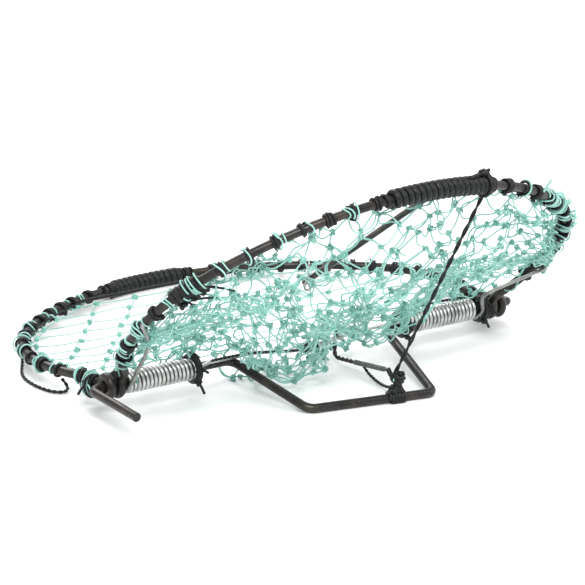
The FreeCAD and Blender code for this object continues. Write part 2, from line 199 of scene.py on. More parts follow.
class Skein:
    """Tubes that are gathered into one mesh."""

    def __init__(self):
        self.points, self.faces, self.uvs, self.total = [], [], [], 0

    def add(self, paths, radius, sides=8, axes=None, cap=True):
        """Round bars along a batch of paths with equal point counts.  With axes, two directions at
        each point, the section is an ellipse and radius is its pair of half widths."""
        p = np.asarray(paths, float)
        p = p[None] if p.ndim == 2 else p
        _, side, up = frames(p) if axes is None else (None, axes[0][None], axes[1][None])
        wide, high = radius if axes is not None else (radius, radius)
        wide, high = (np.broadcast_to(r, p.shape[:2])[:, :, None, None] for r in (wide, high))
        angle = (np.arange(sides) * TAU / sides)[None, None, :, None]
        ring = p[:, :, None] + wide * np.cos(angle) * side[:, :, None] \
            + high * np.sin(angle) * up[:, :, None]
        index = self.total + np.arange(ring[..., 0].size).reshape(ring.shape[:3])
        a, b = index[:, :-1], index[:, 1:]
        quads = np.stack([a, np.roll(a, -1, 2), np.roll(b, -1, 2), b], axis=-1)
        step = np.linalg.norm(np.diff(p, axis=1), axis=-1)
        run = np.concatenate([np.zeros((len(p), 1)), np.cumsum(step, axis=1)], axis=1)
        u0, u1 = (np.broadcast_to(r[:, :, None], a.shape) for r in (run[:, :-1], run[:, 1:]))
        v0 = np.broadcast_to(np.arange(sides) / sides, a.shape)
        v1 = v0 + 1.0 / sides
        uv = np.stack([np.stack(pair, -1) for pair in ((u0, v0), (u0, v1), (u1, v1), (u1, v0))], -2)
        self.points.append(ring.reshape(-1, 3))
        self.faces.append(quads.reshape(-1, 4))
        self.uvs.append(uv.reshape(-1, 2))
        if cap:
            ends = np.concatenate([index[:, 0, ::-1], index[:, -1]])
            self.faces.append(ends)
            self.uvs.append(np.zeros((ends.size, 2)))
        self.total += ring[..., 0].size

    def piece(self, name, look):
        """The gathered tubes as an object of the scene, in metres, with a material."""
        material, slot = look
        mesh = bpy.data.meshes.new(name)
        points = np.concatenate(self.points) * MM
        loops = np.concatenate([f.ravel() for f in self.faces])
        sizes = np.concatenate([np.full(len(f), f.shape[1]) for f in self.faces])
        mesh.vertices.add(len(points))
        mesh.vertices.foreach_set("co", points.astype(np.float32).ravel())
        mesh.loops.add(len(loops))
        mesh.loops.foreach_set("vertex_index", loops.astype(np.int32))
        mesh.polygons.add(len(sizes))
        starts = np.concatenate([[0], np.cumsum(sizes)[:-1]])
        mesh.polygons.foreach_set("loop_start", starts.astype(np.int32))
        mesh.polygons.foreach_set("loop_total", sizes.astype(np.int32))
        mesh.polygons.foreach_set("use_smooth", np.ones(len(sizes), bool))
        layer = mesh.uv_layers.new(name="along")
        layer.data.foreach_set("uv", np.concatenate(self.uvs).astype(np.float32).ravel())
        mesh.update(calc_edges=True)
        mesh.validate()
        mesh.materials.append(material)
        piece = bpy.data.objects.new(name, mesh)
        bpy.context.scene.collection.objects.link(piece)
        return piece

    def ride(self, name, look, body, node=None):
        """The same as a piece that moves with a body, in place of a CAD node where one is named."""
        piece = self.piece(name, look)
        if node:
            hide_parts(node)
        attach(piece, body)


# ---- materials ----
class Shader:
    """A Principled material and short ways to add nodes to it."""

    def __init__(self, name, **sockets):
        self.material = bpy.data.materials.new(name)
        self.material.use_nodes = True
        self.tree = self.material.node_tree
        self.surface = self.tree.nodes["Principled BSDF"]
        for key, value in sockets.items():
            self.surface.inputs[key.replace("_", " ")].default_value = value

    def node(self, kind, **settings):
        made = self.tree.nodes.new(kind)
        for key, value in settings.items():
            setattr(made, key, value)
        return made

    def link(self, source, target):
        self.tree.links.new(source, target)

    def math(self, operation, a, b=0.0):
        made = self.node("ShaderNodeMath", operation=operation)
        for socket, value in zip(made.inputs, (a, b)):
            if isinstance(value, (int, float)):
                socket.default_value = value
            else:
                self.link(value, socket)
        return made.outputs[0]

    def scaled(self, value, factor, base):
        return self.math("ADD", self.math("MULTIPLY", value, factor), base)

    def noise(self, scale, detail=3.0):
        place = self.node("ShaderNodeTexCoord")
        made = self.node("ShaderNodeTexNoise")
        made.inputs["Scale"].default_value = scale
        made.inputs["Detail"].default_value = detail
        self.link(place.outputs["Object"], made.inputs["Vector"])
        return made.outputs["Fac"]

    def ramp(self, value, *stops):
        made = self.node("ShaderNodeValToRGB")
        elements = made.color_ramp.elements
        while len(elements) < len(stops):
            elements.new(0.5)
        for element, (at, colour) in zip(elements, stops):
            element.position = at
            element.color = (*colour, 1.0)
        self.link(value, made.inputs["Fac"])
        return made.outputs["Color"]

    def mix(self, amount, a, b):
        made = self.node("ShaderNodeMix", data_type="RGBA")
        for socket, value in zip((made.inputs[0], made.inputs[6], made.inputs[7]), (amount, a, b)):
            if isinstance(value, tuple):
                socket.default_value = (*value, 1.0)
            elif isinstance(value, float):
                socket.default_value = value
            else:
                self.link(value, socket)
        return made.outputs[2]

    def twist(self, ridges, pitch):
        """Slanting ridges of a laid cord, from how far along and round the tube a point is."""
        place = self.node("ShaderNodeUVMap", uv_map="along")
        split = self.node("ShaderNodeSeparateXYZ")
        self.link(place.outputs["UV"], split.inputs["Vector"])
        run = self.math("MULTIPLY", split.outputs["X"], TAU / pitch)
        turn = self.math("MULTIPLY", split.outputs["Y"], TAU * ridges)
        return self.math("SINE", self.math("ADD", run, turn))

    def bump(self, height, strength, distance, base=None):
        made = self.node("ShaderNodeBump")
        made.inputs["Strength"].default_value = strength
        made.inputs["Distance"].default_value = distance
        self.link(height, made.inputs["Height"])
        if base is not None:
            self.link(base, made.inputs["Normal"])
        return made.outputs["Normal"]

    def finish(self, colour, roughness=None, normal=None):
        self.link(colour, self.surface.inputs["Base Color"])
        if roughness is not None:
            self.link(roughness, self.surface.inputs["Roughness"])
        if normal is not None:
            self.link(normal, self.surface.inputs["Normal"])
        return self.material


def rod_finish():
    """Black-oxide rod: warm near black, with brown bloom, light scuffs and a drawn grain."""
    s = Shader("black_rod", Metallic=0.35, Specular_IOR_Level=0.45)
    bloom = s.ramp(s.noise(90.0, 6.0), (0.30, (0.009, 0.008, 0.008)), (0.55, (0.024, 0.021, 0.019)),
                   (0.78, (0.060, 0.046, 0.035)))
    scuff = s.ramp(s.noise(700.0, 4.0), (0.63, (0.0, 0.0, 0.0)), (0.72, (1.0, 1.0, 1.0)))
    colour = s.mix(s.math("MULTIPLY", scuff, 0.35), bloom, (0.22, 0.21, 0.20))
    roughness = s.scaled(s.noise(240.0, 5.0), 0.28, 0.18)
    grain = s.bump(s.noise(1500.0, 3.0), 0.25, 0.0003)
    return s.finish(colour, roughness, s.bump(s.noise(160.0, 4.0), 0.25, 0.0006, grain))


def cord_finish():
    """Black polyamide cord: fine laid yarns, with a painted highlight on the crests and painted shade in the
    grooves.
    """
    s = Shader("black_cord", Specular_IOR_Level=0.26, Sheen_Weight=0.03, Sheen_Roughness=0.4)
    ridge = s.twist(3, 3.4)
    # painted highlight: the crests of the laid ridges are mixed towards a lighter grey, so the grooves stay
    # darker as painted shade
    crest_highlight = s.scaled(ridge, 0.5, 0.5)
    tone = s.mix(s.noise(300.0, 4.0), (0.003, 0.004, 0.0035), (0.011, 0.013, 0.012))
    colour = s.mix(s.math("MULTIPLY", crest_highlight, 0.35), tone, (0.019, 0.021, 0.020))
    roughness = s.scaled(s.noise(900.0, 2.0), 0.25, 0.30)
    fuzz = s.bump(s.noise(1800.0, 3.0), 0.3, 0.00012)
    return s.finish(colour, roughness, s.bump(ridge, 0.4, 0.00016, fuzz))


def twine_finish(name, depth):
    """Mint polyethylene twine: laid filaments with a waxy gloss and uneven dye, a painted highlight on the
    crests and painted shade in the grooves; a depth above one darkens every colour as painted shade.
    """
    s = Shader(name, Subsurface_Weight=0.15, Subsurface_Scale=0.002, Roughness=0.45)
    s.surface.inputs["Subsurface Radius"].default_value = (0.5, 0.9, 0.8)
    ridge = s.twist(2, 1.7)
    # painted highlight: the crests of the laid ridges are mixed towards a lighter mint, so the grooves stay
    # darker as painted shade
    crest_highlight = s.scaled(ridge, 0.5, 0.5)
    # a depth above one darkens and deepens every colour, as painted shade
    stops = [(at, tuple(c ** depth for c in colour)) for at, colour in (
        (0.32, (0.190, 0.430, 0.370)), (0.52, (0.265, 0.520, 0.460)), (0.72, (0.370, 0.630, 0.570)))]
    tone = s.ramp(s.noise(55.0, 4.0), *stops)
    colour = s.mix(s.math("MULTIPLY", crest_highlight, 0.3), tone, tuple(c ** depth for c in (0.43, 0.70, 0.635)))
    roughness = s.scaled(s.noise(700.0, 2.0), 0.2, 0.34)
    return s.finish(colour, roughness, s.bump(ridge, 0.7, 0.00012, s.bump(s.noise(3000.0), 0.3, 0.0001)))


def zinc_finish(name, tone, rough):
    """Zinc plate: cloudy grey metal with a fine grain and dull spots."""
    s = Shader(name, Metallic=1.0)
    cloud = s.ramp(s.noise(150.0, 5.0), (0.30, tuple(0.55 * c for c in tone)), (0.50, tone),
                   (0.75, tuple(min(1.0, 1.25 * c) for c in tone)))
    spots = s.ramp(s.noise(900.0, 3.0), (0.60, (0.0, 0.0, 0.0)), (0.70, (1.0, 1.0, 1.0)))
    colour = s.mix(s.math("MULTIPLY", spots, 0.4), cloud, (0.20, 0.19, 0.18))
    roughness = s.scaled(s.noise(500.0, 4.0), 0.28, rough)
    return s.finish(colour, roughness, s.bump(s.noise(1800.0, 3.0), 0.2, 0.0002))


def dark_wire_finish():
    """Annealed wire: almost black with brown and blue-grey patches."""
    s = Shader("dark_wire", Metallic=0.7)
    colour = s.ramp(s.noise(260.0, 5.0), (0.30, (0.020, 0.021, 0.023)), (0.55, (0.050, 0.046, 0.042)),
                    (0.80, (0.130, 0.115, 0.100)))
    roughness = s.scaled(s.noise(700.0, 3.0), 0.3, 0.25)
    return s.finish(colour, roughness, s.bump(s.noise(1600.0, 3.0), 0.3, 0.0003))


def sleeve_finish():
    """Grey plastic sleeve, dusty and slightly green."""
    s = Shader("grey_sleeve", Specular_IOR_Level=0.3)
    colour = s.ramp(s.noise(320.0, 4.0), (0.30, (0.060, 0.070, 0.068)), (0.70, (0.115, 0.130, 0.125)))
    roughness = s.scaled(s.noise(600.0, 2.0), 0.2, 0.45)
    return s.finish(colour, roughness, s.bump(s.noise(1500.0, 3.0), 0.2, 0.0002))


def floor_finish():
    """Matt white card."""
    s = Shader("studio_floor", Roughness=0.75)
    tone = s.mix(s.noise(3.0, 2.0), (0.90, 0.90, 0.90), (0.93, 0.93, 0.93))
    return s.finish(tone, None, s.bump(s.noise(60.0, 3.0), 0.04, 0.001))


black_rod = (rod_finish(), "black_rod")
black_cord = (cord_finish(), "black_cord")
mint_twine = (twine_finish("mint_twine", 1.0), "mint_net")
# painted shade: a darker copy of the same mint twine, used for the knots and the stretched rear net
shaded_mint = (twine_finish("shaded_mint", 1.35), "mint_net")
zinc = (zinc_finish("zinc_wire", (0.56, 0.56, 0.55), 0.22), "zinc_wire")
dull_zinc = (zinc_finish("dull_wire", (0.30, 0.30, 0.29), 0.25), "zinc_wire")
bright_wire = (zinc_finish("bright_wire", (0.50, 0.50, 0.49), 0.15), "bright_wire")
dark_wire = (dark_wire_finish(), "dark_wire")
grey_sleeve = (sleeve_finish(), "dark_wire")

for name in ("base_rod", "rear_hoop", "front_hoop"):
    nodes[name].data.materials.clear()
    nodes[name].data.materials.append(black_rod[0])


# ---- free cords ----
ROUTES = {
    "safety_tether": [(0.0170, -0.1025, 0.0184), (0.0205, -0.1068, 0.0319), (0.0494, -0.1425, 0.1492)],
    "carry_loop": [(-0.1600, 0.0680, 0.0050), (-0.1635, 0.0625, 0.0030), (-0.1690, 0.0550, 0.0015),
                   (-0.1730, 0.0455, 0.0015), (-0.1740, 0.0345, 0.0015), (-0.1730, 0.0240, 0.0015),
                   (-0.1695, 0.0145, 0.0015), (-0.1625, 0.0100, 0.0017), (-0.1580, 0.0150, 0.0034),
                   (-0.1605, 0.0195, 0.0074)],
    "trigger_cord": [(0.0266, -0.0550, 0.0082), (0.0260, -0.0615, 0.0042), (0.0252, -0.0715, 0.0022),
                     (0.0236, -0.0815, 0.0024), (0.0215, -0.0910, 0.0042), (0.0196, -0.0979, 0.0076)],
    "axle_cord": [(-0.0823, -0.0369, 0.0241), (-0.0580, -0.0383, 0.0253), (-0.0320, -0.0372, 0.0212),
                  (-0.0063, -0.0341, 0.0165)],
    "coil_cord": [(0.0787, -0.0287, 0.0272), (0.0990, -0.0282, 0.0281), (0.1190, -0.0284, 0.0282),
                  (0.1393, -0.0288, 0.0272)],
}


def route_line(points):
    """Points along the smooth spline that a cord's route controls, in metres."""
    data = bpy.data.curves.new("route", "CURVE")
    data.dimensions = "3D"
    data.resolution_u = 24
    spline = data.splines.new("NURBS")
    spline.points.add(len(points) - 1)
    for control, place in zip(spline.points, points):
        control.co = (*place, 1.0)
    spline.order_u = 3
    spline.use_endpoint_u = True
    holder = bpy.data.objects.new("route", data)
    bpy.context.scene.collection.objects.link(holder)
    mesh = bpy.data.meshes.new_from_object(holder)
    line = np.array([v.co for v in mesh.vertices], float)
    bpy.data.objects.remove(holder)
    return line


def free_cord(name, points, radius, body, count, pitch, fill):
    """A laid cord along its route."""
    line = route_line(points)
    paths, thick = strands(line / MM, radius, count, pitch, fill)
    skein = Skein()
    skein.add(paths, thick, 8)
    piece = skein.piece(name + "_rope", black_cord)
    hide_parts(name)
    if body == "front_bow":
        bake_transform(piece)
    else:
        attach(piece, body)


ROUTES["head_rope"] = [tuple(swung(x, 162.0, 2.2, REAR_SWING) * MM) for x in (-79.0, -65.8, 79.0)]
for name, radius, body, count, pitch, fill, lay in (
        ("safety_tether", 1.45, "front_bow", 2, 24.0, 1.0, "taut"),
        ("carry_loop", 1.2, "rear_bow", 2, 8.0, 1.12, "loose"),
        ("trigger_cord", 1.15, "base", 2, 6.0, 1.12, "loose"),
        ("axle_cord", 1.0, "base", 2, 6.0, 1.12, "taut"),
        ("coil_cord", 1.0, "base", 2, 6.0, 1.12, "taut"),
        ("head_rope", 1.3, "rear_bow", 3, 6.0, 1.12, "taut")):
    free_cord(name, ROUTES[name], radius, body, count, pitch, fill)
draw = np.random.default_rng(11)   # every random draw of the cord work and the net


# ---- springs ----
def around(x, angle, radius):
    """Points round the axle."""
    x, angle, radius = np.broadcast_arrays(x, angle, radius)
    return np.stack([x, AXLE_Y + radius * np.cos(angle), AXLE_Z + radius * np.sin(angle)], -1)


LEFT_COIL = (-91.0, -144.6)     # inner and outer end of each coil
RIGHT_COIL = (82.4, 135.8)
ARM_GAP = 2.6                   # from a coil's outer end to its arm's ring


def spring(side, ends, name):
    """A coil with its inner leg.  The leg runs to the middle; the coil turns into the outer arm."""
    inner_x, outer_x = ends
    turns = 17.0 + 100.0 / 360.0
    t = np.linspace(0.0, 1.0, int(turns * 26))
    angle = math.radians(40.0) + TAU * turns * t
    coil = around(outer_x + (inner_x - outer_x) * t, angle, COIL_R + 0.12 * np.sin(7.3 * angle / TAU))
    seat = math.radians(140.0)
    leg_start = around(inner_x - side * 9.0, seat, COIL_R)
    leaving = unit(coil[-1] - coil[-2])
    s = np.linspace(0.0, 1.0, 14)[1:, None]
    hermite = ((2 * s ** 3 - 3 * s ** 2 + 1) * coil[-1] + (s ** 3 - 2 * s ** 2 + s) * leaving * 9.0
               + (3 * s ** 2 - 2 * s ** 3) * leg_start
               + (s ** 3 - s ** 2) * np.array([-side * 12.0, 0.0, 0.0]))
    rest_y = 1.4 * side
    leg = smooth([leg_start, around(side * 64.0, seat, COIL_R), around(side * 50.0, seat, COIL_R - 0.1),
                  np.array([side * 32.0, AXLE_Y - 1.4 + 0.5 * rest_y, AXLE_Z + 0.9]),
                  np.array([side * 12.0, AXLE_Y + rest_y, AXLE_Z - 2.0]),
                  np.array([-side * 14.0, AXLE_Y + rest_y, AXLE_Z - 2.0])], 70)
    skein = Skein()
    skein.add(np.vstack([coil, hermite, leg[1:]]), WIRE, 12)
    piece = skein.piece(name + "_wound", zinc)
    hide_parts(name)
    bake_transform(piece)


def spring_arm(x, bend, tip, name):
    """A spring's outer leg: it turns round the axle, then lies on the hoop's outer face."""
    angle = np.radians(np.linspace(-90.0, -262.0, 14))
    ring = swung(x, COIL_R * np.cos(angle), COIL_R * np.sin(angle), FRONT_SWING)
    along = [swung(x, 1.5, COIL_R, FRONT_SWING), swung(x, 8.0, COIL_R + 0.2, FRONT_SWING),
             *(swung(*place, FRONT_SWING) for place in (*bend, tip))]
    skein = Skein()
    skein.add(np.vstack([ring, smooth(along, 50)]), WIRE, 12)
    skein.ride(name + "_wire", dull_zinc, "front_bow", name)


spring(-1, LEFT_COIL, "left_spring")
spring(1, RIGHT_COIL, "right_spring")
spring_arm(LEFT_COIL[1] - ARM_GAP, ((-151.0, 30.0, 6.6), (-158.0, 62.0, 7.0)), (-176.0, 91.0, 7.0),
           "left_spring_arm")
spring_arm(RIGHT_COIL[1] + ARM_GAP, ((127.0, 28.0, 6.6), (130.0, 36.5, 7.0), (146.0, 45.0, 7.0)),
           (167.0, 54.3, 7.0), "right_spring_arm")


# ---- cord work on the rods ----
def winding(start, end, pitch, swing, thick, wide, name, node, body):
    """Cord wound closely round a grip, with its ends tucked under crossing turns."""
    turns = (end - start) / pitch
    t = np.linspace(0.0, 1.0, int(turns * 28))
    angle = TAU * turns * t
    wander = 0.06 * wide * np.sin(5.1 * angle / TAU) + 0.05 * wide * np.sin(2.3 * angle / TAU + 1.0)
    centre, along, outward, upward = rim(start + (end - start) * t + wander, swing)
    radial = np.cos(angle)[:, None] * outward + np.sin(angle)[:, None] * upward
    fade = np.clip(np.minimum(t, 1.0 - t) * turns * 3.0, 0.35, 1.0)
    skein = Skein()
    path = centre + (ROD + thick * fade)[:, None] * radial
    skein.add(path, (thick * 1.06 * fade, wide * fade), 12, axes=(radial, along))
    for end_run, way in ((start, -1.0), (end, 1.0)):
        hitch(skein, end_run + way * 2.0, swing, 0.95, 2.2, 2.6)
        knot(skein, rod_point(end_run + way * 1.5, swing, math.pi * 1.25, ROD + 1.8), 1.6, 0.85)
    skein.ride(name, black_cord, body, node)


def rod_point(s, swing, angle, radius):
    """A point beside a hoop's rod: angle 0 is outward and a quarter turn is upward."""
    centre, _, outward, upward = rim(s, swing)
    angle = np.asarray(angle)[..., None]
    radius = np.asarray(radius, float)[..., None]
    return centre + radius * (np.cos(angle) * outward + np.sin(angle) * upward)


def hitch(skein, s, swing, radius, turns, length, off=0.0):
    """A few turns of cord round a hoop's rod."""
    t = np.linspace(0.0, 1.0, int(turns * 16) + 2)
    angle = off + math.pi + TAU * turns * t
    run = s + length * (t - 0.5) + 0.6 * radius * np.sin(angle + off)
    skein.add(rod_point(run, swing, angle, ROD + radius * (1.0 + 0.25 * np.sin(3.0 * t * math.pi))),
              radius, 8)


def trefoil(count, depth):
    """The run of a small knot, one unit across."""
    t = np.linspace(0.0, TAU * 0.97, count)
    return np.stack([np.sin(t) + 2 * np.sin(2 * t), np.cos(t) - 2 * np.cos(2 * t),
                     -depth * np.sin(3 * t)], -1) / 3.0


def knot(skein, at, size, radius):
    """A small hard knot: one cord that winds over itself as a trefoil does."""
    basis = np.linalg.qr(draw.normal(size=(3, 3)))[0]
    skein.add(at + size * trefoil(34, 1.4) @ basis, radius, 8)


def tail(skein, at, way, length, radius, droop=0.3):
    """A short loose end."""
    way = unit(np.asarray(way, float))
    bend = unit(draw.normal(size=3)) * 0.35 * length
    points = [at, at + way * length * 0.5 + bend * 0.5,
              at + way * length + bend - np.array([0, 0, droop * length])]
    line = smooth(points, 12)
    line[:, 2] = np.maximum(line[:, 2], radius + 0.1)
    skein.add(line, radius, 7)


hitched = {}    # where each hoop's hitches are, filled as they are tied


def lashed_rim(swing, grip, spacing, girth, name, node, body):
    """Half hitches along a hoop's rod, all in one cord that runs on along the inner side."""
    skein = Skein()
    hitched[swing] = []
    for side in (-1.0, 1.0):
        first = crown_run(max(side * grip[0], side * grip[1]) + 7.0)
        places = np.arange(first, RIM_LENGTH - 2.0, spacing)
        places = places + draw.uniform(-1.6, 1.6, len(places))
        hitched[swing] += list(side * places)
        run, angle, radius = [], [], []
        turned_so_far = math.pi
        for place in places:
            turns = draw.choice([1.0, 2.0, 2.0, 2.0])
            t = np.linspace(0.0, 1.0, int(18 * turns))
            width = 1.05 * CORD * 2.0 * turns
            run.append(place + width * (t - 0.5) + 0.5 * np.sin(TAU * turns * t))
            angle.append(turned_so_far + TAU * turns * t)
            radius.append(ROD + CORD * (1.0 + girth * np.sin(math.pi * t) ** 2))
            turned_so_far += TAU * turns
        run, angle, radius = (np.concatenate(v) for v in (run, angle, radius))
        skein.add(rod_point(side * run, swing, side * angle, radius), CORD, 8)
        for place in places:
            knot(skein, rod_point(side * place, swing, math.pi * draw.uniform(0.75, 1.25), ROD + 1.6 + girth),
                 1.1 + girth, CORD * 0.9)
            if draw.random() < girth:
                hitch(skein, side * (place + draw.uniform(-2.5, 2.5)), swing, CORD * 0.9,
                      draw.choice([1.2, 2.2]), draw.uniform(2.0, 4.5), draw.uniform(-1.2, 1.2))
    skein.ride(name, black_cord, body, node)


winding(crown_run(REAR_GRIP[0]), crown_run(REAR_GRIP[1]), 4.6, REAR_SWING, 1.42, 2.25,
        "rear_grip_cord", "rear_grip_wrap", "rear_bow")
winding(crown_run(FRONT_GRIP[0]), crown_run(FRONT_GRIP[1]), 4.4, FRONT_SWING, 1.68, 2.15,
        "front_grip_cord", "front_grip_wrap", "front_bow")
lashed_rim(REAR_SWING, REAR_GRIP, 16.5, 0.15, "rear_rim_cord", "rear_hoop_lashings", "rear_bow")
lashed_rim(FRONT_SWING, FRONT_GRIP, 18.0, 0.55, "front_rim_cord", "front_hoop_lashings", "front_bow")


def oval_turns(skein, centre, wide, high, along, half_wide, half_high, length, turns, radius,
               phase=0.0):
    """Turns of cord round an oval bundle."""
    t = np.linspace(0.0, 1.0, int(turns * 20))
    angle = phase + TAU * turns * t
    grow = 1.0 + 0.05 * np.sin(2.7 * angle)
    path = (centre + along * (length * (t - 0.5))[:, None]
            + wide * (half_wide * np.cos(angle) * grow)[:, None]
            + high * (half_high * np.sin(angle) * grow)[:, None])
    skein.add(path, radius, 8)


def eye_binding(side, name):
    """Cord that ties the rear hoop's returned end to its stem, with twine caught in it."""
    centre = swung(side * REAR_EYE_X, 17.4, -3.04, REAR_SWING)
    along, high = turned(0.0, 1.0, 0.0, REAR_SWING), turned(0.0, 0.0, 1.0, REAR_SWING)
    dark, light = Skein(), Skein()
    oval_turns(dark, centre, X, high, along, ROD + 1.1, 2 * ROD + 1.1, 8.6, 5.2, 1.1)
    oval_turns(dark, centre, X, high, unit(along + 0.8 * X), ROD + 2.2, 2 * ROD + 1.8, 9.0, 2.3,
               1.0, 0.8)
    knot(dark, centre - X * 4.6 + high * 2.0, 2.2, 1.0)
    tail(dark, centre - X * 5.0, (-1.0, -0.4, -0.3), 9.0, 0.9)
    for k in range(3):
        oval_turns(light, centre + along * (k * 2.3 - 2.0), X, high, unit(along + 0.3 * k * X),
                   ROD + 2.7 + 0.2 * k, 2 * ROD + 2.4, 2.2, 1.5, 0.55, k * 1.9)
    tail(light, centre - X * 5.0 + high, (-0.2, -1.0, 0.1), 10.0, 0.5)
    dark.ride(name + "_cord", black_cord, "rear_bow", name)
    light.ride(name + "_twine", mint_twine, "rear_bow")


eye_binding(-1, "left_eye_lashing")
eye_binding(1, "right_eye_lashing")


def axle_binding(x, outer, length, name):
    """Cord tied round the axle's bundle, with a lumpy knot and two ends."""
    centre = np.array([x, AXLE_Y, AXLE_Z])
    skein = Skein()
    inner = outer - 1.2
    oval_turns(skein, centre, Y, Z, X, inner, inner, length, length / 1.9, 1.1)
    oval_turns(skein, centre, Y, Z, unit(X + 0.5 * Y + 0.2 * Z), inner + 1.0, inner + 1.0, length, 1.6, 1.0)
    oval_turns(skein, centre, Y, Z, X, 3.85, 3.85, length + 2.0, length / 1.5, 0.8)
    for way in ((-0.7, -0.7), (-0.9, 0.1)):
        at = centre + (Y * way[0] + Z * way[1]) * (outer + 0.4)
        knot(skein, at, 2.2, 1.0)
        tail(skein, at, (0.3, way[0], way[1]), 6.0, 0.9)
    skein.ride(name + "_cord", black_cord, "base", name)


axle_binding(-92.6, 9.8, 4.4, "left_spring_lashing")
axle_binding(77.0, 9.0, 6.0, "right_spring_lashing")
axle_binding(143.0, 9.6, 7.0, "right_axle_knot")


def centre_binding():
    """Fine dark turns that hold the springs' inner legs together."""
    centre = np.array([0.0, AXLE_Y, AXLE_Z - 2.0])
    skein = Skein()
    oval_turns(skein, centre, Y, Z, X, 3.6, 2.4, 12.0, 9.0, 0.75)
    oval_turns(skein, centre, Y, Z, unit(X + 0.6 * Y), 4.2, 3.0, 9.0, 2.0, 0.7, 1.0)
    tail(skein, centre + Z * 3.0, (0.4, -0.4, 0.8), 6.0, 0.6)
    skein.ride("centre_lashing_cord", black_cord, "base", "centre_lashing")


def foot_binding():
    """The big knot on the foot's bar: turns round the bar, a neck of turns and a cut stub."""
    across = np.cross(FOOT_BAR, Z)
    dark, light = Skein(), Skein()
    t = np.linspace(0.0, 1.0, 110)
    angle = TAU * 5.6 * t
    ring = FOOT_KNOT + FOOT_BAR * (11.5 * (t - 0.5))[:, None] + across * (4.1 * np.cos(angle))[:, None] \
        + Z * (4.1 * np.sin(angle))[:, None]
    ring[:, 2] = np.maximum(ring[:, 2], 0.75)
    dark.add(ring, 1.15, 8)
    for lean, width in ((0.9, 4.6), (-0.8, 4.8)):
        oval_turns(dark, FOOT_KNOT + Z * 2.8, unit(across + lean * FOOT_BAR), Z, FOOT_BAR, width, 4.8,
                   2.0, 1.2, 1.0, 0.4)
    for k in range(7):
        angle = TAU * (k / 7.0 + 0.25 * t)
        reach = 3.6 - 1.5 * np.sin(math.pi * t) - 0.5 * t
        lengthwise = FOOT_KNOT + FOOT_BAR * (reach * np.cos(angle) + 1.2 * t)[:, None] \
            + across * (reach * np.sin(angle))[:, None] + Z * (1.0 + 14.5 * t)[:, None]
        dark.add(lengthwise[::6], 1.15, 8)
    neck = FOOT_KNOT + Z * 13.2 + FOOT_BAR * 0.6
    oval_turns(dark, neck, FOOT_BAR, across, unit(Z + 0.3 * across), 3.4, 3.4, 5.0, 2.6, 1.1)
    oval_turns(dark, neck - Z * 6.5, FOOT_BAR, across, unit(Z - 0.4 * FOOT_BAR), 3.0, 3.0, 3.0, 1.6, 1.0)
    for lump, size in ((FOOT_BAR * 2.4 + Z * 1.5, 2.6), (FOOT_BAR * -2.2, 2.4), (Z * 2.6, 2.2),
                       (-Z * 3.0 - across, 2.0)):
        knot(dark, neck + lump, size, 1.1)
    stub = [neck + FOOT_BAR * -1.5, neck + FOOT_BAR * -4.8 + Z * 2.6, neck + FOOT_BAR * -7.6 + Z * 7.4]
    dark.add(smooth(stub, 12), 1.7, 12)
    tail(light, neck + FOOT_BAR * -3.0, (-0.8, -0.5, 0.3), 5.0, 0.45)
    for points in dark.points + light.points:
        points[:, 2] = np.maximum(points[:, 2], 0.02)
    dark.ride("foot_lashing_cord", black_cord, "base", "foot_lashing")
    light.ride("foot_lashing_twine", mint_twine, "base")


def tether_binding():
    """The tether's hitch over the right end of the front grip."""
    skein = Skein()
    run = crown_run(46.5)
    for at, lean, turns, length, radius in ((0.0, 0.3, 1.6, 3.0, 7.2), (3.6, 0.8, 2.4, 3.4, 5.2),
                                            (7.5, 0.2, 1.5, 2.0, 4.3)):
        t = np.linspace(0.0, 1.0, 70)
        angle = math.pi + TAU * turns * t
        s = run + at + length * (t - 0.5) + lean * np.sin(angle)
        skein.add(rod_point(s, FRONT_SWING, angle, radius), 1.1, 8)
    t = np.linspace(0.0, 1.0, 20)
    skein.add(rod_point(run - 17.0 * (1.0 - t), FRONT_SWING, -0.2 - 0.5 * t,
                        7.0 + 0.9 * np.sin(math.pi * t)), 1.05, 8)
    top = rod_point(run - 0.5, FRONT_SWING, -0.6, 8.3)
    knot(skein, top, 2.6, 1.15)
    knot(skein, rod_point(run - 3.6, FRONT_SWING, -0.6, 8.0), 2.2, 1.05)
    knot(skein, rod_point(run + 3.0, FRONT_SWING, math.pi * 1.1, 6.6), 2.2, 1.0)
    skein.ride("tether_knot_cord", black_cord, "front_bow", "tether_knot")


def bundle():
    """Spare cord and twine bunched round the front hoop's left side."""
    dark, light = Skein(), Skein()
    for k in range(7):
        at = BUNDLE_RUN + 2.9 * k - 9.0
        hitch(dark, at + draw.uniform(-0.8, 0.8), FRONT_SWING, 1.15,
              draw.uniform(1.6, 2.6), draw.uniform(2.0, 5.0), draw.uniform(-2.0, 2.0))
        knot(dark, rod_point(at, FRONT_SWING, draw.uniform(2.2, 4.6), ROD + 3.8), 2.9, 1.25)
    for k in range(9):
        s = BUNDLE_RUN + draw.uniform(-9.0, 11.0)
        start = rod_point(s, FRONT_SWING, draw.uniform(2.4, 4.4), ROD + 4.4)
        way = np.array([0.85, draw.uniform(-0.6, -0.4), draw.uniform(-0.1, 0.15)])
        skein, radius = (dark, 0.75) if k % 3 else (light, TWINE)
        tail(skein, start, way, draw.uniform(9.0, 17.0), radius, 0.1)
    for k in range(4):
        t = np.linspace(0.0, 1.0, 26)
        angle = draw.uniform(0, TAU) + TAU * draw.uniform(0.7, 1.3) * t
        s = BUNDLE_RUN + draw.uniform(-10.0, 9.0) + draw.uniform(2.0, 7.0) * t
        light.add(rod_point(s, FRONT_SWING, angle, ROD + draw.uniform(2.8, 3.8)), TWINE, 6)
    dark.ride("knot_bundle_cord", black_cord, "front_bow", "knot_bundle")
    light.ride("knot_bundle_twine", mint_twine, "front_bow")


centre_binding()
foot_binding()
tether_binding()
bundle()


